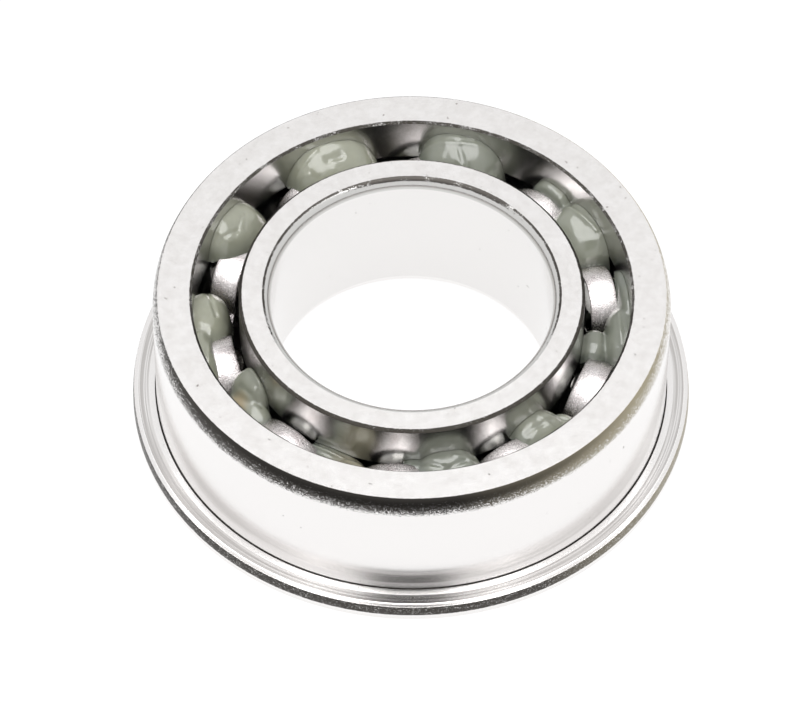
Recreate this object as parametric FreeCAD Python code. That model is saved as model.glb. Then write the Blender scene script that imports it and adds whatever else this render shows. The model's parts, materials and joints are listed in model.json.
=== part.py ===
import FreeCAD, Part
import math
import os

# Flanged open ball bearing for a wheel hub. Millimetres and degrees.
# The axis is Z, the flange is at the foot and the underside lies on Z = 0.

# Rings
bore_diameter = 19.05
ring_width = 11.1125
inner_race_wall = 1.32  # steel between the bore and the bottom of the inner race
outer_race_wall = 1.795  # steel between the bottom of the outer race and the outside
inner_shoulder_height = 0.805  # depth of the inner race below its shoulders
outer_shoulder_height = 0.868  # depth of the outer race below its shoulders
inner_edge_chamfer = 0.22  # outer edges of the inner ring's faces
outer_edge_chamfer = 0.27  # inner edges of the outer ring's faces
bore_corner_depth = 0.4  # rounded corner that starts the axle into the bore
bore_corner_length = 0.69
lead_in_depth = 0.33  # rounded corner that starts the outer ring into its hub
lead_in_length = 1.2

# Flange, one piece with the outer ring
flange_height = 1.5875  # how far the flange stands out from the outer ring
flange_thickness = 1.34
rim_corner_depth = 0.14
rim_corner_length = 0.72
rim_foot_chamfer = 0.12
rim_step_width = 0.1  # narrow lower land round the top of the rim
rim_step_drop = 0.05
root_relief_radius = 0.07  # undercut that lets the hub seat on the flange

# Balls and races
ball_diameter = 4.7625
ball_count = 10
first_ball_angle = 13.8
race_clearance = 0.03  # between a ball and the bottom of each race
race_conformity = 0.52  # groove radius for one unit of ball diameter

# Pressed ribbon cage in two halves
sheet_thickness = 0.4
bend_radius = 0.35  # between a dome and the flat land beside it
pocket_clearance = 0.08
cage_inner_clearance = 0.55  # between the ribbon and the inner ring's shoulders
cage_outer_clearance = 0.73  # between the ribbon and the outer ring's shoulders
rivet_diameter = 0.8
rivet_hole_clearance = 0.03
rivet_head_diameter = 1.5
rivet_head_height = 0.32

# Grease clumps on the cage, one between each ball and the next, squeezed up by the balls
grease_side_clearance = 0.2  # between the grease and the rings' shoulders
grease_rises = (3.6, 4.2, 4.2, 3.6, 3.2, 3.0, 2.3, 2.9, 3.0, 2.8)  # above the land
grease_lengths = (5.6, 6.6, 6.0, 5.8, 6.0, 5.4, 4.8, 4.8, 4.8, 5.6)  # along the ring
grease_leans = (0.3, 0.3, 0.4, 0.35, 0.2, -0.35, -0.45, -0.4, -0.4, 0)  # outwards from the middle of the gap
grease_turns = (1, 5, 8, 7, 6, 1, -1, -1, -3, -1)  # degrees on from the middle of the land
grease_belly = 0.45  # height of a clump's widest part, for one unit of its rise

bore_radius = bore_diameter / 2
ball_radius = ball_diameter / 2
middle = ring_width / 2
ball_pitch_angle = 360 / ball_count
inner_race_radius = bore_radius + inner_race_wall
pitch_radius = inner_race_radius + race_clearance + ball_radius
outer_race_radius = pitch_radius + ball_radius + race_clearance
outside_radius = outer_race_radius + outer_race_wall
flange_radius = outside_radius + flange_height
groove_radius = ball_diameter * race_conformity
inner_shoulder_radius = inner_race_radius + inner_shoulder_height
outer_shoulder_radius = outer_race_radius - outer_shoulder_height
cage_inner_radius = inner_shoulder_radius + cage_inner_clearance
cage_outer_radius = outer_shoulder_radius - cage_outer_clearance
cage_middle_radius = (cage_inner_radius + cage_outer_radius) / 2
pocket_radius = ball_radius + pocket_clearance
dome_radius = pocket_radius + sheet_thickness
land_top = middle + sheet_thickness

UP = FreeCAD.Vector(0, 0, 1)
ORIGIN = FreeCAD.Vector(0, 0, 0)


def section_point(radius, height):
    return FreeCAD.Vector(radius, 0, height)


def line(start, end):
    return Part.LineSegment(section_point(*start), section_point(*end)).toShape()


def arc(start, through, end):
    points = [section_point(*place) for place in (start, through, end)]
    return Part.Arc(*points).toShape()


def turned(edges, axis_point=ORIGIN):
    face = Part.Face(Part.Wire(Part.__sortEdges__(edges)))
    return face.revolve(axis_point, UP, 360)


def tangent_corner(depth, length):
    """Half-way point of an arc that leaves a cylinder smoothly, as inset and drop from its start."""
    radius = (depth ** 2 + length ** 2) / (2 * depth)
    half_turn = math.asin(length / radius) / 2
    return radius * (1 - math.cos(half_turn)), radius * math.sin(half_turn)


def groove_half_width(groove_centre, shoulder_radius):
    return math.sqrt(groove_radius ** 2 - (groove_centre - shoulder_radius) ** 2)


def make_outer_ring():
    face_radius = outer_shoulder_radius + outer_edge_chamfer
    half_groove = groove_half_width(outer_race_radius - groove_radius, outer_shoulder_radius)
    rim_edge = flange_radius - rim_corner_depth
    step_radius = rim_edge - rim_step_width
    step_height = flange_thickness - rim_step_drop
    rim_inset, rim_rise = tangent_corner(rim_corner_depth, rim_corner_length)
    rim_start = step_height - rim_corner_length
    lead_inset, lead_rise = tangent_corner(lead_in_depth, lead_in_length)
    lead_start = ring_width - lead_in_length
    relief_slant = root_relief_radius * math.sqrt(0.5)

    underside = (face_radius, 0), (flange_radius - rim_foot_chamfer, 0)
    rim_foot = (flange_radius, rim_foot_chamfer)
    rim_foot_top = (flange_radius, rim_start)
    rim_top = (rim_edge, step_height)
    step_foot = (step_radius, step_height)
    step_top = (step_radius, flange_thickness)
    relief_face = (outside_radius + root_relief_radius, flange_thickness)
    relief_wall = (outside_radius, flange_thickness + root_relief_radius)
    lead_foot = (outside_radius, lead_start)
    lead_top = (outside_radius - lead_in_depth, ring_width)
    top_edge = (face_radius, ring_width)
    shoulder_top = (outer_shoulder_radius, ring_width - outer_edge_chamfer)
    race_top = (outer_shoulder_radius, middle + half_groove)
    race_foot = (outer_shoulder_radius, middle - half_groove)
    shoulder_foot = (outer_shoulder_radius, outer_edge_chamfer)
    return turned([
        line(*underside),
        line(underside[1], rim_foot),
        line(rim_foot, rim_foot_top),
        arc(rim_foot_top, (flange_radius - rim_inset, rim_start + rim_rise), rim_top),
        line(rim_top, step_foot),
        line(step_foot, step_top),
        line(step_top, relief_face),
        arc(relief_face, (outside_radius - relief_slant, flange_thickness - relief_slant), relief_wall),
        line(relief_wall, lead_foot),
        arc(lead_foot, (outside_radius - lead_inset, lead_start + lead_rise), lead_top),
        line(lead_top, top_edge),
        line(top_edge, shoulder_top),
        line(shoulder_top, race_top),
        arc(race_top, (outer_race_radius, middle), race_foot),
        line(race_foot, shoulder_foot),
        line(shoulder_foot, underside[0]),
    ])


def make_inner_ring():
    face_radius = inner_shoulder_radius - inner_edge_chamfer
    half_groove = groove_half_width(inner_race_radius + groove_radius, inner_shoulder_radius)
    corner_edge = bore_radius + bore_corner_depth
    corner_inset, corner_rise = tangent_corner(bore_corner_depth, bore_corner_length)
    corner_foot = bore_corner_length - corner_rise
    shoulder_foot = (inner_shoulder_radius, inner_edge_chamfer)
    race_foot = (inner_shoulder_radius, middle - half_groove)
    race_top = (inner_shoulder_radius, middle + half_groove)
    shoulder_top = (inner_shoulder_radius, ring_width - inner_edge_chamfer)
    bore_top = (bore_radius, ring_width - bore_corner_length)
    bore_foot = (bore_radius, bore_corner_length)
    return turned([
        line((corner_edge, 0), (face_radius, 0)),
        line((face_radius, 0), shoulder_foot),
        line(shoulder_foot, race_foot),
        arc(race_foot, (inner_race_radius, middle), race_top),
        line(race_top, shoulder_top),
        line(shoulder_top, (face_radius, ring_width)),
        line((face_radius, ring_width), (corner_edge, ring_width)),
        arc((corner_edge, ring_width), (bore_radius + corner_inset, ring_width - corner_foot), bore_top),
        line(bore_top, bore_foot),
        arc(bore_foot, (bore_radius + corner_inset, corner_foot), (corner_edge, 0)),
    ])


def at_angle(shape, angle):
    copy = shape.copy()
    copy.rotate(ORIGIN, UP, angle)
    return copy


def ball_angle(index):
    return first_ball_angle + index * ball_pitch_angle


def land_angle(index):
    return ball_angle(index) + ball_pitch_angle / 2


def make_mound(radius, bend, land_height):
    """A dome of this radius over the first ball with a bend at its foot, filled down to the underside."""
    bend_height = land_height + bend - middle
    bend_reach = math.sqrt((radius + bend) ** 2 - bend_height ** 2)
    slope = math.atan2(bend_height, bend_reach)
    half_way = (slope + math.pi / 2) / 2
    crown = (pitch_radius, middle + radius)
    shoulder = (pitch_radius + radius * math.cos(half_way), middle + radius * math.sin(half_way))
    bend_top = (pitch_radius + radius * math.cos(slope), middle + radius * math.sin(slope))
    bend_centre = (pitch_radius + bend_reach, middle + bend_height)
    bend_middle = (bend_centre[0] - bend * math.cos(half_way), bend_centre[1] - bend * math.sin(half_way))
    bend_foot = (bend_centre[0], land_height)
    land_end = (2 * pitch_radius, land_height)
    return turned([
        line((pitch_radius, 0), (land_end[0], 0)),
        line((land_end[0], 0), land_end),
        line(land_end, bend_foot),
        arc(bend_foot, bend_middle, bend_top),
        arc(bend_top, shoulder, crown),
        line(crown, (pitch_radius, 0)),
    ], section_point(pitch_radius, 0))


def make_cage_upper_half():
    outer_mound = make_mound(dome_radius, bend_radius, land_top)
    inner_mound = make_mound(pocket_radius, bend_radius + sheet_thickness, middle)
    sector = Part.makeCylinder(cage_outer_radius, ring_width, ORIGIN, UP, ball_pitch_angle)
    sector = sector.cut(Part.makeCylinder(cage_inner_radius, ring_width))
    sector = at_angle(sector, -ball_pitch_angle / 2)
    pocket = outer_mound.common(sector).cut(inner_mound)
    pockets = [at_angle(pocket, ball_angle(index)) for index in range(ball_count)]
    ribbon = pockets[0].multiFuse(pockets[1:]).removeSplitter()
    hole_radius = rivet_diameter / 2 + rivet_hole_clearance
    hole = Part.makeCylinder(hole_radius, ring_width, section_point(cage_middle_radius, 0))
    holes = [at_angle(hole, land_angle(index)) for index in range(ball_count)]
    return ribbon.cut(Part.makeCompound(holes))


def make_rivet():
    shank = rivet_diameter / 2
    head = rivet_head_diameter / 2
    dome = (head ** 2 + rivet_head_height ** 2) / (2 * rivet_head_height)
    half_turn = math.asin(head / dome) / 2
    dome_drop = dome * (1 - math.cos(half_turn))
    centre = cage_middle_radius

    def head_edges(land_height, side):
        seat = (centre + shank, land_height)
        rim = (centre + head, land_height)
        crown = (centre, land_height + side * rivet_head_height)
        crest = (centre + dome * math.sin(half_turn), crown[1] - side * dome_drop)
        return [line(seat, rim), arc(rim, crest, crown)]

    land_foot = 2 * middle - land_top
    upper = head_edges(land_top, 1)
    lower = head_edges(land_foot, -1)
    shank_line = line((centre + shank, land_foot), (centre + shank, land_top))
    axis_line = line((centre, land_top + rivet_head_height), (centre, land_foot - rivet_head_height))
    return turned(upper + lower + [shank_line, axis_line], section_point(centre, 0))


def make_grease_bed(rivet):
    """The free space over a land, between the rings' shoulders and the domes at its two ends."""
    bed = Part.makeCylinder(outer_shoulder_radius, ring_width, ORIGIN, UP, ball_pitch_angle)
    bed = bed.cut(Part.makeCylinder(inner_shoulder_radius, ring_width))
    bed = at_angle(bed, -ball_pitch_angle / 2)
    mound = make_mound(dome_radius, bend_radius, land_top)
    neighbours = [at_angle(mound, side * ball_pitch_angle / 2) for side in (-1, 1)]
    return bed.cut(neighbours + [rivet])


def make_grease(index, bed):
    """A soft clump that lies on a land and against the domes at its two ends."""
    rise = grease_rises[index % len(grease_rises)]
    length = grease_lengths[index % len(grease_lengths)]
    lean = grease_leans[index % len(grease_leans)]
    turn = grease_turns[index % len(grease_turns)]
    half_gap = (outer_shoulder_radius - inner_shoulder_radius) / 2
    clump = Part.makeSphere(1)
    # the sphere's poles go to the clump's two ends and its seam underneath
    clump.rotate(ORIGIN, FreeCAD.Vector(1, 0, 0), 90)
    clump.rotate(ORIGIN, FreeCAD.Vector(0, 1, 0), 90)
    stretch = FreeCAD.Matrix()
    stretch.scale(half_gap - grease_side_clearance - abs(lean), length / 2, rise * (1 - grease_belly))
    clump = clump.transformGeometry(stretch)
    clump.translate(section_point(inner_shoulder_radius + half_gap + lean, land_top + rise * grease_belly))
    return at_angle(at_angle(clump, turn).common(bed), land_angle(index))


def build_nodes():
    rivet = make_rivet()
    rivets = [at_angle(rivet, land_angle(index)) for index in range(ball_count)]
    upper_half = make_cage_upper_half()
    ball = Part.makeSphere(ball_radius, section_point(pitch_radius, middle))
    nodes = {
        "outer_ring": make_outer_ring(),
        "inner_ring": make_inner_ring(),
        "cage_upper_half": upper_half,
        "cage_lower_half": upper_half.mirror(section_point(0, middle), UP),
        "cage_rivets": Part.makeCompound(rivets),
    }
    for index in range(ball_count):
        nodes["ball_%02d" % (index + 1)] = at_angle(ball, ball_angle(index))
    bed = make_grease_bed(rivet)
    for index in range(ball_count):
        nodes["grease_%02d" % (index + 1)] = make_grease(index, bed)
    return nodes


os.makedirs("parts", exist_ok=True)
for name, shape in build_nodes().items():
    shape.exportStep("parts/%s.step" % name)
    print(name, shape.isValid(), len(shape.Solids), round(shape.Volume, 3))
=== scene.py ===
import json
import math
import bmesh
import bpy
from mathutils import Matrix, Vector, noise


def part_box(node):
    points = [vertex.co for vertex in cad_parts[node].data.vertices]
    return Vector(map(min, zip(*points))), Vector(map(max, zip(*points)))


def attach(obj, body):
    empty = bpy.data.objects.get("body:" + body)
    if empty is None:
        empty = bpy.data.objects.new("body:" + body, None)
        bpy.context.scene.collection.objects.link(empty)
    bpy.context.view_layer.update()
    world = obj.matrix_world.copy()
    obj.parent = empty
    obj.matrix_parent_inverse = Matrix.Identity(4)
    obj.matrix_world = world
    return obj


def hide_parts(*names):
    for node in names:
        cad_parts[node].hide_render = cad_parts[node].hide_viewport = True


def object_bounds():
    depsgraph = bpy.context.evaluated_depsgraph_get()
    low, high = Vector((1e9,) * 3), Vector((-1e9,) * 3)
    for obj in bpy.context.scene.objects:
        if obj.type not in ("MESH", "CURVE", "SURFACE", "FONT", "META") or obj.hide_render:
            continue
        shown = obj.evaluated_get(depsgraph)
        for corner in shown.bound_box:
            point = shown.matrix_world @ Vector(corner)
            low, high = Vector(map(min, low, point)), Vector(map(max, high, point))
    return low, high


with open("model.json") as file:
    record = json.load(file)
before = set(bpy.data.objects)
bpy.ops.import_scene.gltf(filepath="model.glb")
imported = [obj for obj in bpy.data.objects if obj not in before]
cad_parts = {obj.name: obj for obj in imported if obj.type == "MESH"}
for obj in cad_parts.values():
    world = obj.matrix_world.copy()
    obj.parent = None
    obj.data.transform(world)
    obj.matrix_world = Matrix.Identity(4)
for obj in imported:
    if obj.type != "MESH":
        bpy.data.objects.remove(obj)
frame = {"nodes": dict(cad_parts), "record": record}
cadLow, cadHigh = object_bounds()
print("frame loaded:", len(frame["nodes"]), "nodes")

mm = 0.001
mounts = {mount["name"]: mount for mount in frame["record"]["mounts"]}
ballNames = sorted(name for name in frame["nodes"] if name.startswith("ball_"))
ballLow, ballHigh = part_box(ballNames[0])
ballCentre = (ballLow + ballHigh) / 2 / mm

# sizes that the frame gives, in millimetres and degrees
bearing = {
    "width": cadHigh.z / mm,
    "flangeRadius": cadHigh.x / mm,
    "boreRadius": mounts["axle_bore"]["dims"]["r_mm"],
    "boreLength": mounts["axle_bore"]["dims"]["length_mm"],
    "hubRadius": mounts["hub_seat"]["dims"]["r_mm"],
    "hubLength": mounts["hub_seat"]["dims"]["length_mm"],
    "hubMiddle": mounts["hub_seat"]["pos_m"][2] / mm,
    "flangeTop": mounts["flange_seat"]["pos_m"][2] / mm,
    "innerShoulder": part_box("inner_ring")[1].x / mm,
    "domeTop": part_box("cage_upper_half")[1].z / mm,
    "ballRadius": (ballHigh.z - ballLow.z) / 2 / mm,
    "pitchRadius": ballCentre.xy.length,
    "middle": ballCentre.z,
    "firstAngle": math.degrees(math.atan2(ballCentre.y, ballCentre.x)),
    "stepAngle": 360 / len(ballNames),
}


def linear(hexColour):  # sRGB hex to the linear colour that shaders take
    channels = [int(hexColour[i:i + 2], 16) / 255 for i in (1, 3, 5)]
    return [c / 12.92 if c <= 0.04045 else ((c + 0.055) / 1.055) ** 2.4 for c in channels] + [1]


def feedNode(tree, node, inputs):  # links a socket to an output, or sets it to a value
    for socket, value in inputs.items():
        if isinstance(value, bpy.types.NodeSocket):
            tree.links.new(value, node.inputs[socket])
        else:
            node.inputs[socket].default_value = value


# adds a node and gives one of its outputs; a Mix node takes numbers at its inputs 2 and 3 and gives output 0,
# or takes colours at 6 and 7 and gives output 2
def addNode(tree, kind, inputs, output=0, **settings):
    node = tree.nodes.new("ShaderNode" + kind)
    for name, value in settings.items():
        setattr(node, name, value)
    feedNode(tree, node, inputs)
    return node.outputs[output]


def newMaterial(name):
    material = bpy.data.materials.new(name)
    material.use_nodes = True
    return material, material.node_tree, material.node_tree.nodes["Principled BSDF"]


def newObject(name, bm, material):
    mesh = bpy.data.meshes.new(name)
    bm.to_mesh(mesh)
    bm.free()
    mesh.materials.append(material)
    thing = bpy.data.objects.new(name, mesh)
    bpy.context.scene.collection.objects.link(thing)
    return thing


def newPiece(name, bm, material, body, slot, *nodes):
    for face in bm.faces:
        face.smooth = True
    bmesh.ops.recalc_face_normals(bm, faces=bm.faces)
    piece = newObject(name, bm, material)
    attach(piece, body)
    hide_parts(*nodes)
    return piece


# attributes of the rings: share of dark skin, of honing and of turning lines, and how far a painted
# reflection pales the skin
ringShares = ("corner", "honed", "turned", "pale")
ringFinish = {
    "ground": "#f2f0ef",
    "groundShade": "#e4e1df",
    "honed": "#d0cfcd",
    "turnShade": "#c9c6c4",
    "skin": "#484542",
    "skinPale": "#a59d88",  # painted reflection of a bright surround on the dark skin
    "speck": "#8d8580",
    # marks that run round the axis, with their sizes along and across
    "grindMm": (5, 0.1),  # drawn about four times too coarse
    "grind": {"Scale": 1, "Detail": 4},
    "turnMm": (14, 0.07),  # drawn about twice too coarse
    "turn": {"Scale": 1, "Detail": 3, "Roughness": 0.6},
    "raggedMm": (0.3, 0.14),
    "ragged": {"Scale": 1, "Detail": 4, "Roughness": 0.7},
    "lineSlant": 0.6,  # share of the radius that counts across them, so that flat faces have them too
    # marks without a direction
    "fleck": {"Scale": 1 / (0.085 * mm), "Detail": 3, "Roughness": 0.6},
    "mottle": {"Scale": 1 / (0.9 * mm), "Detail": 6, "Roughness": 0.7},
    "spots": {"Scale": 1 / (0.45 * mm), "Detail": 2},
    # where the marks and finishes set in
    "cloudRange": {"From Min": 0.35, "From Max": 0.75},
    "turnRange": {"From Min": 0.33, "From Max": 0.58},
    "speckRange": {"From Min": 0.735, "From Max": 0.82},
    "faceRange": {"From Max": 0.5, "To Min": 1, "To Max": 0},  # honing, for the plain ground faces
    "raceRange": {"From Min": 0.6},  # honing, for the races
    "skinRange": {"From Min": 0.22, "From Max": 0.75},
    "skinLeast": {"From Max": 0.12},
    "fleckShare": 2,  # flecks against ragged lines where the skin is broken
    "brokenDepth": 1.4,
    "brokenLess": -2.1,  # brings the middle of both to nothing
    # how rough each finish is
    "grindRough": {"To Min": 0.15, "To Max": 0.19},
    "plainRough": 0.06,  # more of it on plain faces and in races
    "skinRough": 0.2,
    # relief, beside the grinding lines
    "grainRelief": 1.5,
    "turnRelief": 1.5,
    "pitRelief": 3,  # pits in the skin
    "raceLess": -0.85,  # a race has few of the grinding lines
    "bump": 0.2,
    "bumpMm": 0.004,
    # patches in which the skin is worn more and less
    "patchMm": 0.7,
    "patchDepth": 0.6,
}


# coordinates that run round the bearing's axis, for marks left by grinding and turning
def roundLines(tree, place, alongMm, acrossMm):
    flat = addNode(tree, "VectorMath", {0: place, 1: (1, 1, 0)}, operation="MULTIPLY")
    radius = addNode(tree, "VectorMath", {0: flat}, "Value", operation="LENGTH")
    facing = addNode(tree, "VectorMath", {0: flat}, operation="NORMALIZE")
    marksRound = bearing["hubRadius"] / alongMm
    turn = addNode(tree, "VectorMath", {0: facing, "Scale": marksRound}, operation="SCALE")
    height = addNode(tree, "SeparateXYZ", {0: place}, "Z")
    slant = ringFinish["lineSlant"]
    across = addNode(tree, "Math", {0: radius, 1: slant, 2: height}, operation="MULTIPLY_ADD")
    lines = addNode(tree, "Math", {0: across, 1: 1 / (acrossMm * mm)}, operation="MULTIPLY")
    lift = addNode(tree, "CombineXYZ", {"Z": lines})
    return addNode(tree, "VectorMath", {0: turn, 1: lift}, operation="ADD")


# Bearing steel, ground bright, with honed races, a turned flange and the dark skin of hardening on corners;
# the skin also carries painted shade at the flange's root, painted light at the sides and painted reflections
def groundSteel():
    s = ringFinish
    shades = ("ground", "groundShade", "honed", "turnShade", "skin", "skinPale", "speck")
    ground, groundShade, honedShade, turnShade, skinShade, skinPale, speckShade = (
        linear(s[name]) for name in shades)
    material, tree, shader = newMaterial("groundBearingSteel")
    place = addNode(tree, "TexCoord", {}, "Object")
    corner, honed, turned, pale = (addNode(tree, "Attribute", {}, "Fac", attribute_name=share)
                                   for share in ringShares)
    grind = addNode(tree, "TexNoise", {"Vector": roundLines(tree, place, *s["grindMm"]), **s["grind"]})
    feed = addNode(tree, "TexNoise", {"Vector": roundLines(tree, place, *s["turnMm"]), **s["turn"]})
    ragged = addNode(tree, "TexNoise", {"Vector": roundLines(tree, place, *s["raggedMm"]), **s["ragged"]})
    fleck = addNode(tree, "TexNoise", {"Vector": place, **s["fleck"]})
    mottle = addNode(tree, "TexNoise", {"Vector": place, **s["mottle"]})
    spots = addNode(tree, "TexNoise", {"Vector": place, **s["spots"]})

    # where the skin is left, and where the plain faces and the races are
    both = addNode(tree, "Math", {0: fleck, 1: s["fleckShare"], 2: ragged}, operation="MULTIPLY_ADD")
    broken = addNode(tree, "Math", {0: both, 1: s["brokenDepth"], 2: s["brokenLess"]},
                     operation="MULTIPLY_ADD")
    edge = addNode(tree, "Math", {0: corner, 1: broken}, operation="ADD")
    kept = addNode(tree, "MapRange", {"Value": edge, **s["skinRange"]})
    some = addNode(tree, "MapRange", {"Value": corner, **s["skinLeast"]})
    skin = addNode(tree, "Math", {0: kept, 1: some}, operation="MULTIPLY")
    face = addNode(tree, "MapRange", {"Value": honed, **s["faceRange"]})
    race = addNode(tree, "MapRange", {"Value": honed, **s["raceRange"]})

    # colour
    cloud = addNode(tree, "MapRange", {"Value": mottle, **s["cloudRange"]})
    clouded = addNode(tree, "Math", {0: cloud, 1: face}, operation="MULTIPLY")
    bright = addNode(tree, "Mix", {0: clouded, 6: ground, 7: groundShade}, 2, data_type="RGBA")
    lines = addNode(tree, "MapRange", {"Value": feed, **s["turnRange"]})
    ridged = addNode(tree, "Math", {0: lines, 1: turned}, operation="MULTIPLY")
    cut = addNode(tree, "Mix", {0: ridged, 6: bright, 7: turnShade}, 2, data_type="RGBA")
    metal = addNode(tree, "Mix", {0: race, 6: cut, 7: honedShade}, 2, data_type="RGBA")
    speck = addNode(tree, "MapRange", {"Value": spots, **s["speckRange"]})
    stained = addNode(tree, "Mix", {0: speck, 6: metal, 7: speckShade}, 2, data_type="RGBA")
    # the skin's colour, paled towards the right of the rings by a painted reflection
    dark = addNode(tree, "Mix", {0: pale, 6: skinShade, 7: skinPale}, 2, data_type="RGBA")
    colour = addNode(tree, "Mix", {0: skin, 6: stained, 7: dark}, 2, data_type="RGBA")

    # roughness
    shine = addNode(tree, "MapRange", {"Value": grind, **s["grindRough"]})
    plain = addNode(tree, "Math", {0: face, 1: race}, operation="ADD")
    smooth = addNode(tree, "Math", {0: plain, 1: s["plainRough"], 2: shine}, operation="MULTIPLY_ADD")
    rough = addNode(tree, "Math", {0: skin, 1: s["skinRough"], 2: smooth}, operation="MULTIPLY_ADD")

    # relief
    grain = addNode(tree, "Math", {0: mottle, 1: face}, operation="MULTIPLY")
    fewer = addNode(tree, "Math", {0: race, 1: s["raceLess"], 2: 1}, operation="MULTIPLY_ADD")
    scored = addNode(tree, "Math", {0: grind, 1: fewer}, operation="MULTIPLY")
    lay = addNode(tree, "Math", {0: grain, 1: s["grainRelief"], 2: scored}, operation="MULTIPLY_ADD")
    ridges = addNode(tree, "Math", {0: feed, 1: turned}, operation="MULTIPLY")
    fine = addNode(tree, "Math", {0: ridges, 1: s["turnRelief"], 2: lay}, operation="MULTIPLY_ADD")
    pits = addNode(tree, "Math", {0: fleck, 1: skin}, operation="MULTIPLY")
    relief = addNode(tree, "Math", {0: pits, 1: s["pitRelief"], 2: fine}, operation="MULTIPLY_ADD")
    bump = addNode(tree, "Bump", {"Height": relief, "Strength": s["bump"], "Distance": s["bumpMm"] * mm})
    feedNode(tree, shader, {"Base Color": colour, "Metallic": 1, "Roughness": rough, "Normal": bump})
    return material


cageFinish = {
    "sheet": "#e6e1e1",
    "worn": "#c4bcbc",
    # painted shade on the lower flanks of the domes
    "flank": "#565050",
    "flankMm": (6.9, 8.1),  # heights between which the painted shade on the flanks of the domes gives way to bright
    "scuff": {"Scale": 1 / (0.1 * mm), "Detail": 6, "Roughness": 0.6},
    "cloud": {"Scale": 1 / (0.9 * mm), "Detail": 3},
    "wornRange": {"From Min": 0.45, "From Max": 0.75},
    "grainRange": {"From Min": 0.32, "From Max": 0.58},
    "scuffRough": {"From Min": 0.3, "From Max": 0.7, "To Min": 0.15, "To Max": 0.42},
    "bumpMm": 0.035,
}


# Pressed mild steel strip, bright from the rolls and scuffed by the dies; painted shade darkens the lower
# flanks of the domes through the scuffs
def pressedSteel():
    s = cageFinish
    sheetShade, wornShade, flankShade = (linear(s[name]) for name in ("sheet", "worn", "flank"))
    material, tree, shader = newMaterial("pressedCageSteel")
    place = addNode(tree, "TexCoord", {}, "Object")
    scuff = addNode(tree, "TexNoise", {"Vector": place, **s["scuff"]})
    cloud = addNode(tree, "TexNoise", {"Vector": place, **s["cloud"]})
    worn = addNode(tree, "MapRange", {"Value": cloud, **s["wornRange"]})
    sheet = addNode(tree, "Mix", {0: worn, 6: sheetShade, 7: wornShade}, 2, data_type="RGBA")
    height = addNode(tree, "SeparateXYZ", {0: place}, "Z")
    flankLow, flankHigh = (edge * mm for edge in s["flankMm"])
    flank = addNode(tree, "MapRange", {"Value": height, "From Min": flankLow, "From Max": flankHigh,
                                       "To Min": 1, "To Max": 0})
    grain = addNode(tree, "MapRange", {"Value": scuff, **s["grainRange"]})
    # painted shade on the lower flanks, broken up by the scuffs
    scuffShade = addNode(tree, "Math", {0: flank, 1: grain}, operation="MULTIPLY")
    colour = addNode(tree, "Mix", {0: scuffShade, 6: sheet, 7: flankShade}, 2, data_type="RGBA")
    rough = addNode(tree, "MapRange", {"Value": scuff, **s["scuffRough"]})
    bump = addNode(tree, "Bump", {"Height": scuff, "Strength": 1, "Distance": s["bumpMm"] * mm})
    feedNode(tree, shader, {"Base Color": colour, "Metallic": 1, "Roughness": rough, "Normal": bump})
    return material


ballFinish = {
    "steel": "#d9d8d6",
    "film": {"Scale": 1 / (1.2 * mm), "Detail": 3},
    "filmRough": {"To Min": 0.05, "To Max": 0.16},
}


# Chrome steel balls, lapped to a mirror, with a thin film of grease
def lappedSteel():
    s = ballFinish
    material, tree, shader = newMaterial("lappedBallSteel")
    place = addNode(tree, "TexCoord", {}, "Object")
    film = addNode(tree, "TexNoise", {"Vector": place, **s["film"]})
    rough = addNode(tree, "MapRange", {"Value": film, **s["filmRough"]})
    feedNode(tree, shader, {"Base Color": linear(s["steel"]), "Metallic": 1, "Roughness": rough})
    return material


greaseFinish = {
    "body": "#b3b4a2",
    "deep": "#9ea08f",
    # the dark look of thin grease over steel, also painted shade on clumps that lie in shade
    "thin": "#81867c",
    "stain": "#b3a07c",
    "cloud": {"Scale": 1 / (1.4 * mm), "Detail": 3},
    "wet": {
        "Roughness": 0.2,
        "IOR": 1.48,
        "Coat Weight": 1,
        "Coat Roughness": 0.09,
        "Subsurface Weight": 0.6,
        "Subsurface Radius": (1, 1, 0.85),
        "Subsurface Scale": 0.5 * mm,
    },
}


# Lithium grease: pale grey-green, wet on top, cloudy inside and darker where it is thin over steel,
# with painted shade on clumps that lie in shade
def lithiumGrease():
    s = greaseFinish
    bodyShade, deepShade, thinShade, stainShade = (
        linear(s[name]) for name in ("body", "deep", "thin", "stain"))
    material, tree, shader = newMaterial("lithiumGrease")
    place = addNode(tree, "TexCoord", {}, "Object")
    thin = addNode(tree, "Attribute", {}, "Fac", attribute_name="thin")
    stain = addNode(tree, "Attribute", {}, "Fac", attribute_name="stain")
    cloud = addNode(tree, "TexNoise", {"Vector": place, **s["cloud"]})
    body = addNode(tree, "Mix", {0: cloud, 6: bodyShade, 7: deepShade}, 2, data_type="RGBA")
    clean = addNode(tree, "Mix", {0: thin, 6: body, 7: thinShade}, 2, data_type="RGBA")
    colour = addNode(tree, "Mix", {0: stain, 6: clean, 7: stainShade}, 2, data_type="RGBA")
    feedNode(tree, shader, {"Base Color": colour, **s["wet"]})
    return material


ringSteel = groundSteel()
cageSteel = pressedSteel()
ballSteel = lappedSteel()
grease = lithiumGrease()
print("materials made")


def ramp(value, start, end):
    return min(max((value - start) / (end - start), 0), 1)


def polar(angleDeg, radius, height):
    turn = math.radians(angleDeg)
    return Vector((radius * math.cos(turn), radius * math.sin(turn), height))


def arcRun(centre, radius, startDeg, endDeg, steps):
    turns = [math.radians(startDeg + (endDeg - startDeg) * i / steps) for i in range(steps + 1)]
    return [(centre[0] + radius * math.cos(a), centre[1] + radius * math.sin(a)) for a in turns]


# radius and turn of an arc that leaves a cylinder smoothly and leans by depth over length
def cornerBend(depth, length):
    bend = (depth ** 2 + length ** 2) / (2 * depth)
    return bend, math.degrees(math.asin(length / bend))


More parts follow.
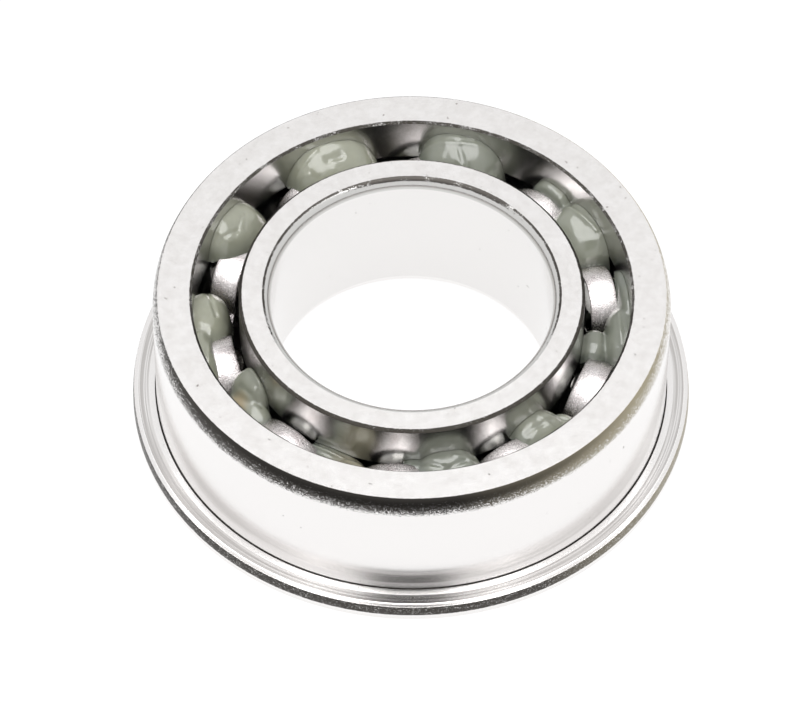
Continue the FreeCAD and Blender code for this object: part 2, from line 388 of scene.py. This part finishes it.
def leadIn(radius, top, depth, length, steps):
    bend, turn = cornerBend(depth, length)
    return arcRun((radius - bend, top - length), bend, 0, turn, steps)


def grooveRun(centre, radius, shoulder, steps):
    half = math.degrees(math.asin(math.sqrt(radius ** 2 - (centre[0] - shoulder) ** 2) / radius))
    if shoulder > centre[0]:
        return arcRun(centre, radius, half, -half, steps)
    return arcRun(centre, radius, 180 + half, 180 - half, steps)


# a straight run that stops just short of its two corners, so that a finish ends there
def flatRun(start, end, gap=0.04):
    start, end = Vector(start), Vector(end)
    step = (end - start).normalized() * gap
    return [tuple(start + step), tuple(end - step)]


def patchy(place):
    return 1 + ringFinish["patchDepth"] * noise.noise(place / ringFinish["patchMm"])


# share of honing and of turning lines that each finish has
finishes = {"ground": (0, 0), "fine": (0.5, 0), "bored": (0.7, 0), "honed": (1, 0), "turned": (0.5, 1)}
turning = {"steps": 256, "mergeMm": 0.0005, "sharpDeg": 14}


# runs are (points, share of dark skin, finish); the profile is closed and spun round the axis, and skinAt
# gives how much of the skin is left at a place in millimetres and how far a painted reflection pales it there
def turnedRing(node, runs, skinAt):
    bm = bmesh.new()
    corner, honed, turned, pale = (bm.verts.layers.float.new(share) for share in ringShares)
    verts = []
    for points, skinShare, finish in runs:
        for radius, height in points:
            vert = bm.verts.new((radius * mm, 0, height * mm))
            vert[corner] = skinShare
            vert[honed], vert[turned] = finishes[finish]
            verts.append(vert)
    edges = [bm.edges.new((verts[i], verts[(i + 1) % len(verts)])) for i in range(len(verts))]
    bmesh.ops.spin(bm, geom=verts + edges, axis=(0, 0, 1), cent=(0, 0, 0), angle=math.tau,
                   steps=turning["steps"], use_merge=True)
    bmesh.ops.remove_doubles(bm, verts=bm.verts, dist=turning["mergeMm"] * mm)
    for vert in bm.verts:
        left, vert[pale] = skinAt(vert.co / mm)
        vert[corner] *= left
    piece = newPiece(node + "_turned", bm, ringSteel, node, "ring_steel", node)
    piece.data.set_sharp_from_angle(angle=math.radians(turning["sharpDeg"]))
    return piece


outerRing = {
    "shoulder": 14.7945,
    "innerChamfer": 0.15,
    "raceGap": 0.03,
    "grooveRadius": 2.4765,
    "grooveSteps": 24,
    "leadDepth": 0.33,
    "leadSteps": 10,
    "rimDepth": 0.08,
    "rimLength": 0.75,
    "rimSteps": 6,
    "rimFoot": 0.12,
    "rimDrop": 0.033,
    "rootSteps": 12,
    # the flange's seat, turned in shallow facets: how far out from the hub, and how far below its top
    "seatLand": [(0.22, 0), (0.48, 0.026)],
    "seatBand": [(0.52, 0.028), (0.55, 0.028), (1.15, 0.028), (1.18, 0.028)],
    "seatEdge": [(1.2, 0.01), (1.26, 0.02), (1.29, 0.0215), (1.46, 0.0295)],
    # shares of dark skin, and how far from its corner each ends
    "chamferSkin": 0.9,
    "chamferPale": 0.05,
    "chamferGuard": 0.05,
    "leadSkin": [(0, 2, 0.65), (2, 5, 0.85), (5, 8, 1.05), (8, None, 1.5)],  # first point, end and share
    "leadFade": 0.4,
    # painted shade: the share of dark skin in the undercut at the root of the flange
    "rootSkin": 1.5,
    "rootEdge": 0.085,
    "rootGuard": 0.05,
    "rootReach": 0.2,  # how far from the root the skin, with its painted shade, is whole all round
    "rimSkin": 0.95,
    "rimGuard": (0.015, 0.003),  # inwards and up
    # where the skin is lighter: bare at the front of the inner chamfer, painted light at the sides, and a
    # painted reflection to the right
    "brightFront": (-7, -11),  # from back to front, where the inner chamfer loses its skin
    "wornBack": (-11, -3),  # from front to back, where painted light takes skin away towards the sides
    "rimWorn": (-2, 6),  # the same for the rim of the flange
    "wornLoss": 0.6,
    "keptBehind": (3, 9),  # further back, where it is whole again
    "paleSide": (3, 15),  # from left to right, where a painted reflection pales the skin outside
    "rimPale": (9, 20),  # the same for the rim of the flange
}


def outerSkin(place):
    s = outerRing
    radius = place.xy.length
    if radius < s["shoulder"] + 2 * s["innerChamfer"]:
        return (1 - ramp(place.y, *s["brightFront"])) * patchy(place), s["chamferPale"]
    onFlange = radius - bearing["hubRadius"] > s["rootReach"]
    # the painted shade at the root of the flange stays whole all round
    if not onFlange and place.z < bearing["flangeTop"] + s["rootReach"]:
        return 1, 0
    # painted light takes skin away towards the sides, and a painted reflection pales it to the right
    worn = s["rimWorn"] if onFlange else s["wornBack"]
    pale = s["rimPale"] if onFlange else s["paleSide"]
    loss = s["wornLoss"] * ramp(place.y, *worn) * (1 - ramp(place.y, *s["keptBehind"]))
    return 1 - loss, ramp(place.x, *pale)


def makeOuterRing():
    s = outerRing
    width, hub, rim, top = (bearing[key] for key in ("width", "hubRadius", "flangeRadius", "flangeTop"))
    leadLength = width - (bearing["hubMiddle"] + bearing["hubLength"] / 2)
    relief = bearing["hubMiddle"] - bearing["hubLength"] / 2 - top
    shoulder, chamfer, foot = (s[key] for key in ("shoulder", "innerChamfer", "rimFoot"))
    face = shoulder + chamfer
    race = bearing["pitchRadius"] + bearing["ballRadius"] + s["raceGap"]
    groove = grooveRun((race - s["grooveRadius"], bearing["middle"]), s["grooveRadius"], shoulder,
                       s["grooveSteps"])
    rimTop = top - s["rimDrop"]
    guardIn, guardUp = s["rimGuard"]
    lead = leadIn(hub, width, s["leadDepth"], leadLength, s["leadSteps"])
    leadRuns = [(lead[start:end], share, "fine") for start, end, share in s["leadSkin"]]
    land, band, seatEdge = ([(hub + out, top - drop) for out, drop in reversed(s[key])]
                            for key in ("seatLand", "seatBand", "seatEdge"))
    return turnedRing("outer_ring", [
        (flatRun((face, 0), (rim - foot, 0)), 0, "ground"),
        ([(rim - foot, 0), (rim, foot)], 0, "ground"),
        (flatRun((rim, foot), (rim, rimTop - s["rimLength"])), 0, "fine"),
        (leadIn(rim, rimTop, s["rimDepth"], s["rimLength"], s["rimSteps"]), s["rimSkin"], "fine"),
        ([(rim - s["rimDepth"] - guardIn, rimTop + guardUp)], 0, "fine"),
        (seatEdge, 0, "fine"),
        (band, 0, "turned"),
        (land, 0, "fine"),
        ([(hub + s["rootEdge"], top)], 0, "fine"),
        # painted shade in the undercut at the root of the flange
        (arcRun((hub, top), relief, 0, -270, s["rootSteps"]), s["rootSkin"], "fine"),
        ([(hub, top + relief + s["rootGuard"]), (hub, width - leadLength - s["leadFade"])], 0, "fine"),
        *leadRuns,
        (flatRun((hub - s["leadDepth"], width), (face, width)), 0, "ground"),
        ([(face, width), (shoulder, width - chamfer)], s["chamferSkin"], "fine"),
        ([(shoulder, width - chamfer - s["chamferGuard"])], 0, "honed"),
        (groove, 0, "honed"),
        ([(shoulder, chamfer + s["chamferGuard"])], 0, "honed"),
        ([(shoulder, chamfer), (face, 0)], s["chamferSkin"], "fine"),
    ], outerSkin)


innerRing = {
    "edgeChamfer": 0.19,
    "raceGap": 0.03,
    "grooveRadius": 2.4765,
    "grooveSteps": 24,
    "boreCornerDepth": 0.53,
    "cornerSteps": 10,
    # shares of dark skin, and how far from its corner each ends
    "chamferSkin": (1.3, 1),  # at the wall and at the face
    "chamferPale": 0.05,
    "chamferGuard": 0.05,
    # dark skin on the corner of the bore: a line of skin along its top, and below it a painted reflection
    "boreSkin": 1.2,
    "borePoints": 4,  # points of the corner of the bore that keep it, from above
    "boreGuard": 0.1,
    "skinLine": 0.06,  # depth of the dark line along the top of the corner of the bore
    # below that line, a painted reflection of the dark opening in front, centred across the back of the bore
    # here
    "skinMiddle": 1.2,
    "skinBack": (3.5, 6.5),  # from the middle to the sides, where that painted reflection ends
    "brightFront": (-1, -5),  # from back to front, where the corner of the bore loses its skin
    # old grease, a dark film on the wall above the race
    "filmSkin": 0.8,
    "filmPoints": 2,  # points of the race under it, from above
    "filmGap": 0.02,  # between the chamfer and the film
    "filmLeft": (-9.6, -10.6),  # from right to left, where the film begins
}


def innerSkin(place):
    s = innerRing
    if place.xy.length > bearing["boreRadius"] + 2 * s["boreCornerDepth"]:
        onWall = place.z < bearing["width"] - s["edgeChamfer"] - s["filmGap"]
        return ramp(place.x, *s["filmLeft"]) if onWall else 1, s["chamferPale"]
    left = 1 - ramp(place.y, *s["brightFront"])
    # below the dark line along its top, the skin is a painted reflection of the dark opening in front, only
    # about the middle of the back
    if place.z < bearing["width"] - s["skinLine"]:
        left *= 1 - ramp(abs(place.x - s["skinMiddle"]), *s["skinBack"])
    return left * patchy(place), 0


def makeInnerRing():
    s = innerRing
    width, bore, shoulder = (bearing[key] for key in ("width", "boreRadius", "innerShoulder"))
    chamfer, guard, boreGuard = (s[key] for key in ("edgeChamfer", "chamferGuard", "boreGuard"))
    corner = (width - bearing["boreLength"]) / 2
    boreEdge = bore + s["boreCornerDepth"]
    face = shoulder - chamfer
    race = bearing["pitchRadius"] - bearing["ballRadius"] - s["raceGap"]
    groove = grooveRun((race + s["grooveRadius"], bearing["middle"]), s["grooveRadius"], shoulder,
                       s["grooveSteps"])
    bend, turn = cornerBend(s["boreCornerDepth"], corner)
    upperCorner = arcRun((bore + bend, width - corner), bend, 180 - turn, 180, s["cornerSteps"])
    lowerCorner = arcRun((bore + bend, corner), bend, 180, 180 + turn, s["cornerSteps"])
    film, skin = s["filmPoints"], s["borePoints"]
    wallSkin, faceSkin = s["chamferSkin"]
    return turnedRing("inner_ring", [
        (flatRun((boreEdge, 0), (face, 0)), 0, "ground"),
        ([(face, 0), (shoulder, chamfer)], 0, "fine"),
        ([(shoulder, chamfer + guard)], 0, "honed"),
        (groove[:-film], 0, "honed"),
        (groove[-film:], s["filmSkin"], "honed"),
        ([(shoulder, width - chamfer - guard)], s["filmSkin"], "honed"),
        ([(shoulder, width - chamfer)], wallSkin, "fine"),
        ([(face, width)], faceSkin, "fine"),
        (flatRun((face, width), (boreEdge, width)), 0, "ground"),
        (upperCorner[:skin], s["boreSkin"], "honed"),
        (upperCorner[skin:], 0, "honed"),
        ([(bore, width - corner - boreGuard), (bore, corner + boreGuard)], 0, "bored"),
        (lowerCorner, 0, "fine"),
    ], innerSkin)


makeOuterRing()
makeInnerRing()
print("rings turned")

cageRibbon = {
    "innerRadius": 12.2,
    "outerRadius": 14.0645,
    "sheet": 0.4,
    "bend": 0.35,
    "crossCurve": 0.75,  # how much of a ball's curve the domes have across the strip
    "domeShare": 0.6,  # of the steps from a dome's crown to the middle of the land, those on the dome
    "bendShare": 0.25,  # and those on the bend at its foot
    "alongSteps": 24,
    "acrossSteps": 10,
    "mergeMm": 0.002,
    "edgeDeg": 60,  # turn of the strip's cut edges, which are rounded
    "edgeRound": 0.05,
    "edgeSteps": 2,
}


# angle from the ball and height above the middle, from the crown at share 0 to the middle of the land at 1
def ribbonPlace(share, radius):
    s = cageRibbon
    dome = bearing["domeTop"] - bearing["middle"]
    bendHeight = s["sheet"] + s["bend"]
    bendReach = math.sqrt((dome + s["bend"]) ** 2 - bendHeight ** 2)
    slope = math.atan2(bendHeight, bendReach)
    across = s["crossCurve"] * (radius - bearing["pitchRadius"])
    if share <= s["domeShare"]:
        crown = math.sqrt(dome ** 2 - across ** 2)
        foot = math.asin(dome * math.sin(slope) / crown)
        height = crown * math.sin(math.pi / 2 + (foot - math.pi / 2) * share / s["domeShare"])
        away = math.sqrt(dome ** 2 - height ** 2)
    else:
        turn = slope + (math.pi / 2 - slope) * min((share - s["domeShare"]) / s["bendShare"], 1)
        height = bendHeight - s["bend"] * math.sin(turn)
        away = bendReach - s["bend"] * math.cos(turn)
    angle = math.degrees(math.asin(math.sqrt(max(away ** 2 - across ** 2, 0)) / radius))
    landFrom = s["domeShare"] + s["bendShare"]
    if share > landFrom:
        angle += (bearing["stepAngle"] / 2 - angle) * (share - landFrom) / (1 - landFrom)
    return angle, height


# one pocket of strip, repeated round the ring and given its thickness; side is 1 above the balls and -1 below
def makeRibbon(node, side):
    s = cageRibbon
    bm = bmesh.new()
    bmesh.ops.create_grid(bm, x_segments=2 * s["alongSteps"], y_segments=s["acrossSteps"], size=1)
    for vert in bm.verts:
        radius = s["innerRadius"] + (s["outerRadius"] - s["innerRadius"]) * (vert.co.y + 1) / 2
        angle, height = ribbonPlace(abs(vert.co.x), radius)
        turn = bearing["firstAngle"] + math.copysign(angle, vert.co.x)
        vert.co = polar(turn, radius, bearing["middle"] + side * height) * mm
    pocket = bm.verts[:] + bm.edges[:] + bm.faces[:]
    bmesh.ops.spin(bm, geom=pocket, axis=(0, 0, 1), cent=(0, 0, 0), steps=len(ballNames) - 1,
                   angle=math.radians(360 - bearing["stepAngle"]), use_duplicate=True)
    bmesh.ops.remove_doubles(bm, verts=bm.verts, dist=s["mergeMm"] * mm)
    bm.normal_update()
    if sum(face.normal.z for face in bm.faces) * side < 0:
        bmesh.ops.reverse_faces(bm, faces=bm.faces)
    bmesh.ops.solidify(bm, geom=bm.faces[:], thickness=s["sheet"] * mm)
    edges = [edge for edge in bm.edges if edge.calc_face_angle(0) > math.radians(s["edgeDeg"])]
    bmesh.ops.bevel(bm, geom=edges, offset=s["edgeRound"] * mm, offset_type="OFFSET", segments=s["edgeSteps"],
                    profile=0.5, affect="EDGES", material=-1)
    return newPiece(node + "_ribbon", bm, cageSteel, "cage", "cage_steel", node)


makeRibbon("cage_upper_half", 1)
makeRibbon("cage_lower_half", -1)
frame["nodes"]["cage_rivets"].material_slots[0].material = cageSteel
for node in ballNames:
    frame["nodes"][node].material_slots[0].material = ballSteel
print("cage and balls finished")

# Grease squeezed up between the domes. Lobes are (angle, radius, top, half length along the race, half width,
# rise per mm outwards, rise per mm along). Lines are (from angle, radius, to angle, radius, depth,
# half width), with ridges where depth is below nothing. Stains, tinted by worn steel, are (angle, radius,
# size, share). A clump reaches back and forth from its land by half the span, and thin is the least share of
# its dark look, which is partly painted shade on clumps that lie in shade.
greaseClumps = {
    "grease_01": {
        "thin": 0.5,
        "span": 60,
        "lobes": [(34, 13.9, 8.9, 2.7, 2.3, 0.3, 0.1), (48.5, 14.55, 8.9, 1.9, 0.8, 0.2, 0)],
        "lines": [(45, 14.2, 30, 14.5, -0.1, 0.16), (24.6, 14.3, 25.2, 13.1, -0.1, 0.12)],
    },
    "grease_02": {
        "thin": 0.65,
        "span": 60,
        "lobes": [(76.5, 13.9, 10.0, 3.2, 2.4, 0.4, 0.05)],
        "lines": [(77.5, 14.2, 74, 12.9, 0.07, 0.2), (88, 14.1, 70, 14.5, -0.06, 0.15),
                  (65, 14.4, 67, 13.4, 0.08, 0.14)],
    },
    "grease_03": {
        "thin": 0.05,
        "span": 60,
        "lobes": [(113, 13.9, 10.05, 3.5, 2.4, 0.4, 0.1)],
        "lines": [(115, 13.7, 111, 13.7, 0.1, 0.26), (124.5, 14.0, 117, 14.5, -0.07, 0.15),
                  (123, 13.6, 122, 13.4, -0.06, 0.12)],
    },
    "grease_04": {
        "thin": 0.1,
        "span": 60,
        "lobes": [(149, 14.05, 9.75, 3.0, 2.0, 0.4, 0.1)],
        "lines": [(157, 14.3, 151, 13.5, 0.07, 0.14), (153, 13.5, 147, 13.9, 0.06, 0.14),
                  (149, 13.3, 145, 13.9, 0.05, 0.14), (155, 14.5, 156, 13.7, -0.05, 0.12)],
    },
    "grease_05": {
        "thin": 0,
        "span": 60,
        "lobes": [(180, 13.85, 8.85, 2.8, 1.75, 0.15, 0), (192.5, 14.4, 9.0, 2.9, 1.15, 0.2, 0)],
        "lines": [(171, 14.1, 181, 13.2, 0.11, 0.14), (186, 13.6, 198, 14.3, -0.07, 0.14)],
    },
    "grease_06": {
        "thin": 0.45,
        "span": 50,
        "lobes": [(208, 12.25, 8.8, 1.8, 1.3, -0.5, -0.1), (214, 13.2, 7.9, 2.3, 1.5, -0.3, 0)],
        "lines": [(202, 11.9, 222, 12.1, -0.1, 0.14), (207, 12.9, 216, 12.4, 0.09, 0.16),
                  (210, 13.7, 216, 13.5, 0.08, 0.14)],
        "stains": [(210.5, 13.75, 1.1, 0.7)],
    },
    "grease_07": {
        "thin": 0.6,
        "span": 50,
        "lobes": [(244, 12.2, 7.5, 2.8, 0.9, -0.2, 0), (252, 13.2, 8.35, 1.5, 1.3, 0, 0),
                  (246, 13.9, 7.6, 2.4, 1.0, 0, 0)],
        "lines": [(235, 12.1, 250, 12.2, -0.12, 0.12), (240, 12.6, 252, 12.8, 0.09, 0.14)],
        "stains": [(252, 13.2, 2.4, 0.3)],
    },
    "grease_08": {
        "thin": 0.75,
        "span": 50,
        "lobes": [(281.5, 12.5, 8.6, 2.6, 1.6, -0.3, 0), (271, 12.1, 8.1, 1.5, 0.8, 0, 0)],
        "lines": [(274.5, 12.2, 281, 12.9, 0.09, 0.18), (281, 12.9, 287, 12.5, 0.09, 0.18),
                  (284, 12.1, 289, 12.6, -0.06, 0.14)],
    },
    "grease_09": {
        "thin": 0.4,
        "span": 50,
        "lobes": [(312.5, 12.5, 8.7, 2.4, 1.6, -0.3, 0), (320, 13.2, 7.9, 1.5, 1.4, -0.1, 0)],
        "lines": [(308, 12.5, 318, 12.7, 0.07, 0.18), (319, 12.1, 322, 13.2, 0.09, 0.14),
                  (315, 12.0, 316, 13.2, -0.06, 0.14)],
    },
    "grease_10": {
        "thin": 0.8,
        "span": 64,
        "lobes": [(352.5, 12.4, 8.1, 1.7, 1.05, 0, 0), (357.5, 14.25, 8.4, 2.7, 1.4, 0.1, 0),
                  (369, 14.75, 8.7, 2.9, 0.95, 0.2, 0)],
        "lines": [(358, 13.1, 348, 13.2, 0.1, 0.14), (363, 14.0, 352, 14.3, -0.06, 0.16)],
    },
}
greaseShape = {
    "stepMm": 0.06,
    "softenRounds": 14,
    "softenFactor": 0.5,
    "square": 2.4,  # how square a lobe is from above: 2 is an ellipse
    "plateau": 3,  # how flat a lobe is on top: 2 is an ellipsoid
    "wrinkleMm": 0.8,
    "wrinkleDepthMm": 0.06,
    "innerLimit": 11.664,
    "outerLimit": 14.784,
    "landTop": 5.956,
    "offLobe": 1,  # how far below the lands the sheet of grease lies where no lobe lifts it
    "sunk": 0.1,  # how deep its underside lies in the cage's sheet, so that its edge meets the sheet cleanly
    "closed": 0.02,  # how far under its edge the underside lies
    "thinUnder": 1.1,  # grease thinner than this looks darker
    "thinShare": 0.5,
}


def lobeHeight(angle, radius, lobe):
    s = greaseShape
    lobeAngle, lobeRadius, top, along, across, riseOut, riseAlong = lobe
    u = math.radians(angle - lobeAngle) * lobeRadius
    v = radius - lobeRadius
    away = (abs(u / along) ** s["square"] + abs(v / across) ** s["square"]) ** (1 / s["square"])
    if away >= 1:
        return s["landTop"] - s["offLobe"]
    rise = top + riseOut * v + riseAlong * u - s["landTop"]
    return s["landTop"] + rise * math.sqrt(1 - away ** s["plateau"])


def lineDepth(point, lines):
    depth = 0
    for startAngle, startRadius, endAngle, endRadius, lineDeep, lineWide in lines:
        start = polar(startAngle, startRadius, 0).xy
        run = polar(endAngle, endRadius, 0).xy - start
        share = min(max((point.xy - start).dot(run) / run.length_squared, 0), 1)
        away = (point.xy - start - run * share).length / lineWide
        depth += lineDeep * math.exp(-away * away)
    return depth


# height of the underside, just inside the sheet of the domes and lands
def greaseFoot(point):
    s = greaseShape
    turn = math.degrees(math.atan2(point.y, point.x)) - bearing["firstAngle"]
    nearest = bearing["firstAngle"] + round(turn / bearing["stepAngle"]) * bearing["stepAngle"]
    away = (point.xy - polar(nearest, bearing["pitchRadius"], 0).xy).length
    dome = bearing["domeTop"] - bearing["middle"]
    height = bearing["middle"] + math.sqrt(max(dome ** 2 - away ** 2, 0))
    return max(height, s["landTop"]) - s["sunk"]


# a sheet over the race, raised by the lobes, softened, cut back to where it shows and closed underneath
def makeGrease(name, settings):
    s = greaseShape
    land = bearing["firstAngle"] + bearing["stepAngle"] * (int(name[-2:]) - 0.5)
    reach = s["outerLimit"] - s["innerLimit"]
    long = round(math.radians(settings["span"]) * bearing["pitchRadius"] / s["stepMm"])
    wide = round(reach / s["stepMm"])
    bm = bmesh.new()
    bmesh.ops.create_grid(bm, x_segments=long, y_segments=wide, size=0.5)
    for vert in bm.verts:
        angle = land + settings["span"] * vert.co.x
        radius = s["innerLimit"] + reach * (vert.co.y + 0.5)
        vert.co = polar(angle, radius, max(lobeHeight(angle, radius, lobe) for lobe in settings["lobes"]))
    for _ in range(s["softenRounds"]):
        bmesh.ops.smooth_vert(bm, verts=bm.verts, factor=s["softenFactor"], use_axis_z=True)
    for vert in bm.verts:
        wrinkle = noise.noise(vert.co / s["wrinkleMm"]) * s["wrinkleDepthMm"]
        vert.co.z -= lineDepth(vert.co, settings["lines"]) + wrinkle
    hidden = [face for face in bm.faces if all(vert.co.z < greaseFoot(vert.co) for vert in face.verts)]
    bmesh.ops.delete(bm, geom=hidden, context="FACES")
    thin = bm.verts.layers.float.new("thin")
    stain = bm.verts.layers.float.new("stain")
    for vert in bm.verts:
        for angle, radius, size, share in settings.get("stains", []):
            away = (vert.co.xy - polar(angle, radius, 0).xy).length
            vert[stain] = max(vert[stain], share * ramp(away, size, size / 2))
        foot = greaseFoot(vert.co)
        vert.co.z = max(vert.co.z, foot)
        depth = min((vert.co.z - foot) / s["thinUnder"], 1)
        # the dark look: thin grease near the foot, and each clump's own share, which is partly painted shade
        vert[thin] = min(settings["thin"] + s["thinShare"] * (1 - depth), 1)
    base = bmesh.ops.extrude_face_region(bm, geom=bm.faces[:], use_keep_orig=True)["geom"]
    for vert in base:
        if isinstance(vert, bmesh.types.BMVert):
            vert.co.z = greaseFoot(vert.co) - s["closed"]
    bmesh.ops.scale(bm, vec=(mm, mm, mm), verts=bm.verts)
    return newPiece(name + "_clump", bm, grease, "cage", "grease", name)


for name, settings in greaseClumps.items():
    makeGrease(name, settings)
print("grease laid")


# whether a ray comes from the camera, straight or through something clear, and whether from a shiny surface
def seenRays(tree):
    rays = addNode(tree, "LightPath", {}).node.outputs
    direct = {0: rays["Is Camera Ray"], 1: rays["Is Transmission Ray"]}
    return addNode(tree, "Math", direct, operation="MAXIMUM"), rays["Is Glossy Ray"]


paperFloor = {
    "sizeMm": 1600,
    "paper": "#6c6c6c",  # without the glow
    "light": "#ffffff",
    "glow": 0.93,
    "ringShadeMm": (9.9, 10.4, 18.3, 18.9),  # no glow under the bearing, so its gaps stay dark
    "frontShadeMm": (-36, -26),  # the floor in front is dark, as metal shows it
}


# White paper, lit so that it looks like the plain ground of the photo
def makeFloor():
    s = paperFloor
    boreIn, boreOut, rimIn, rimOut = (edge * mm for edge in s["ringShadeMm"])
    frontFar, frontNear = (edge * mm for edge in s["frontShadeMm"])
    material, tree, shader = newMaterial("whitePaperFloor")
    tree.nodes.remove(shader)
    place = addNode(tree, "TexCoord", {}, "Object")
    away = addNode(tree, "VectorMath", {0: place}, "Value", operation="LENGTH")
    outside = addNode(tree, "MapRange", {"Value": away, "From Min": rimIn, "From Max": rimOut})
    inside = addNode(tree, "MapRange", {"Value": away, "From Min": boreIn, "From Max": boreOut,
                                        "To Min": 1, "To Max": 0})
    openFloor = addNode(tree, "Math", {0: outside, 1: inside}, operation="MAXIMUM")
    depth = addNode(tree, "SeparateXYZ", {0: place}, "Y")
    lit = addNode(tree, "MapRange", {"Value": depth, "From Min": frontFar, "From Max": frontNear})
    direct, glossy = seenRays(tree)
    mirrored = addNode(tree, "Math", {0: glossy, 1: lit}, operation="MULTIPLY")
    seen = addNode(tree, "Math", {0: direct, 1: mirrored}, operation="MAXIMUM")
    glow = addNode(tree, "Math", {0: openFloor, 1: seen}, operation="MULTIPLY")
    power = addNode(tree, "Math", {0: glow, 1: s["glow"]}, operation="MULTIPLY")
    light = addNode(tree, "Emission", {"Color": linear(s["light"]), "Strength": power})
    paper = addNode(tree, "BsdfDiffuse", {"Color": linear(s["paper"])})
    both = addNode(tree, "AddShader", {0: light, 1: paper})
    feedNode(tree, tree.nodes["Material Output"], {"Surface": both})
    bm = bmesh.new()
    bmesh.ops.create_grid(bm, x_segments=1, y_segments=1, size=s["sizeMm"] / 2 * mm)
    floor = newObject("floor", bm, material)


studio = {
    "light": "#ffffff",
    # the dark opening that the camera looks through, as metal shows it
    "openingAcrossDeg": (10, 26),
    "openingLowDeg": (42, 50),
    "openingHighDeg": (60, 68),
    "openingShade": 0.02,
    "backDeg": (148, 172),  # from the side to the back, where the room grows less bright
    "backSeen": 0.88,
    "roomSeen": 1,  # how bright shiny surfaces show the rest of the room
    "roomLit": 0.28,  # how bright it lights the others
    "backdropSeen": 1,  # how bright the camera sees it
}


def makeWorld():
    s = studio
    world = bpy.data.worlds.new("studio")
    bpy.context.scene.world = world
    world.use_nodes = True
    tree = world.node_tree
    acrossNear, acrossFar, backNear, backFar = (
        math.cos(math.radians(edge)) for edge in s["openingAcrossDeg"] + s["backDeg"])
    lowFrom, lowTo, highFrom, highTo = (
        math.sin(math.radians(edge)) for edge in s["openingLowDeg"] + s["openingHighDeg"])
    facing = addNode(tree, "TexCoord", {}, "Generated")
    flat = addNode(tree, "VectorMath", {0: facing, 1: (1, 1, 0)}, operation="MULTIPLY")
    compass = addNode(tree, "VectorMath", {0: flat}, operation="NORMALIZE")
    front = addNode(tree, "VectorMath", {0: compass, 1: (0, -1, 0)}, "Value", operation="DOT_PRODUCT")
    across = addNode(tree, "MapRange", {"Value": front, "From Min": acrossFar, "From Max": acrossNear},
                     interpolation_type="SMOOTHSTEP")
    height = addNode(tree, "SeparateXYZ", {0: facing}, "Z")
    above = addNode(tree, "MapRange", {"Value": height, "From Min": lowFrom, "From Max": lowTo})
    below = addNode(tree, "MapRange", {"Value": height, "From Min": highFrom, "From Max": highTo,
                                       "To Min": 1, "To Max": 0})
    band = addNode(tree, "Math", {0: below, 1: above}, operation="MULTIPLY")
    opening = addNode(tree, "Math", {0: across, 1: band}, operation="MULTIPLY")
    wall = addNode(tree, "MapRange", {"Value": front, "From Min": backFar, "From Max": backNear,
                                      "To Min": s["backSeen"], "To Max": s["roomSeen"]})
    room = addNode(tree, "Mix", {0: opening, 2: wall, 3: s["openingShade"]})
    direct, glossy = seenRays(tree)
    shown = addNode(tree, "Mix", {0: glossy, 2: s["roomLit"], 3: room})
    power = addNode(tree, "Mix", {0: direct, 2: shown, 3: s["backdropSeen"]})
    feedNode(tree, tree.nodes["Background"], {"Color": linear(s["light"]), "Strength": power})


overheadSoftbox = {"placeMm": (0, -5, 450), "sizeMm": 420, "watts": 1.75}


def makeLamp():
    s = overheadSoftbox
    lamp = bpy.data.lights.new("overheadSoftbox", "AREA")
    lamp.energy = s["watts"]
    lamp.size = s["sizeMm"] * mm
    holder = bpy.data.objects.new("overheadSoftbox", lamp)
    holder.location = Vector(s["placeMm"]) * mm
    bpy.context.scene.collection.objects.link(holder)


photoCamera = {
    "placeMm": (-0.77, -247.7, 329.3),
    "pitchDeg": 37.33,
    "rollDeg": 0.41,
    "lensMm": 270,
    "sensorMm": 36,
    "clipMm": (10, 10000),
}


def makeCamera():
    s = photoCamera
    lens = bpy.data.cameras.new("photoCamera")
    lens.lens = s["lensMm"]
    lens.sensor_width = s["sensorMm"]
    lens.clip_start, lens.clip_end = (edge * mm for edge in s["clipMm"])
    camera = bpy.data.objects.new("photoCamera", lens)
    bpy.context.scene.collection.objects.link(camera)
    place = Matrix.Translation(Vector(s["placeMm"]) * mm)
    tilt = Matrix.Rotation(math.radians(s["pitchDeg"]), 4, "X")
    roll = Matrix.Rotation(math.radians(s["rollDeg"]), 4, "Z")
    camera.matrix_world = place @ tilt @ roll
    bpy.context.scene.camera = camera


makeFloor()
makeWorld()
makeLamp()
makeCamera()
bpy.context.scene.view_settings.view_transform = "Standard"
print("stage set")
